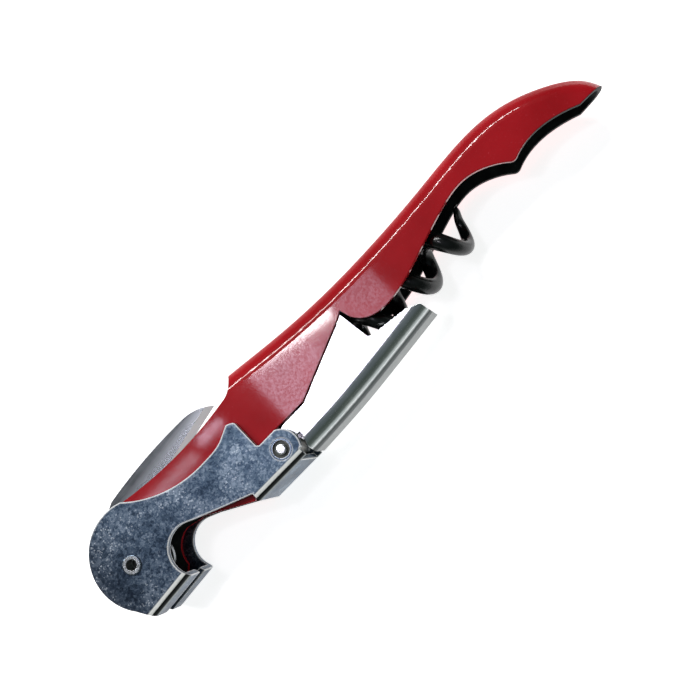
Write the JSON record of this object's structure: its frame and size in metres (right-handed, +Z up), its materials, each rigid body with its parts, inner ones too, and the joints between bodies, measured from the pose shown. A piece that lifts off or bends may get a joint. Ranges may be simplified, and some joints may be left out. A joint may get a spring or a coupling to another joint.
{
  "type": "waiters corkscrew",
  "caption": "Folding waiter's corkscrew: channel handle, hinged two-step boot lever with crown cap hook, foil blade and open helical worm.",
  "frame": {"origin": "middle of the closed tool's footprint, on the table it lies on", "axes": "+X along the handle from the hinge head to the tail, +Y towards the handle's spine, +Z up, across the tool from side plate to side plate"},
  "size_m": [0.1214, 0.0224, 0.0146],
  "materials": {
    "red_painted_steel": "gloss",
    "zinc_plated_steel": "satin, spangled",
    "bright_plated_steel": "bright",
    "blade_steel": "satin",
    "black_coated_steel": "gloss, low friction coating",
    "rivet_steel": "bright",
    "plain_steel": "satin",
    "shim_plastic": "matt"
  },
  "bodies": {
    "handle": {"handle_shell": "red_painted_steel", "head_rivet": "rivet_steel", "knife_spring_washer": "plain_steel", "knife_flat_washer": "plain_steel", "head_bush_near": "plain_steel", "head_bush_far": "plain_steel", "head_shim_near": "shim_plastic", "head_shim_far": "shim_plastic", "worm_pin": "red_painted_steel", "worm_bush_near": "plain_steel", "worm_bush_far": "plain_steel"},
    "first_lever_set": {"first_lever": "zinc_plated_steel", "mid_rivet": "rivet_steel", "mid_shim_near": "shim_plastic", "mid_shim_far": "shim_plastic"},
    "second_lever_set": {"second_lever": "bright_plated_steel", "mid_spacer_tube": "plain_steel"},
    "knife": {"knife_blade": "blade_steel"},
    "worm_screw": {"worm": "black_coated_steel"}
  },
  "joints": [
    {"name": "first_lever_hinge", "type": "hinge", "parent": "handle", "child": "first_lever_set", "pos_m": [-0.05343, -0.00194, 0.00715], "axis": [0, 0, -1], "range_deg": [0, 120]},
    {"name": "second_lever_hinge", "type": "hinge", "parent": "first_lever_set", "child": "second_lever_set", "pos_m": [-0.02053, -0.00649, 0.00715], "axis": [0, 0, -1], "range_deg": [0, 55]},
    {"name": "knife_hinge", "type": "hinge", "parent": "handle", "child": "knife", "pos_m": [-0.05343, -0.00194, 0.00715], "axis": [0, 0, 1], "range_deg": [0, 165]},
    {"name": "worm_hinge", "type": "hinge", "parent": "handle", "child": "worm_screw", "pos_m": [-0.01623, -0.00074, 0.00715], "axis": [0, 0, -1], "range_deg": [0, 102]}
  ],
  "couplings": [
    {"joint": "worm_hinge", "follows": "first_lever_hinge", "ratio": 0.85}
  ]
}
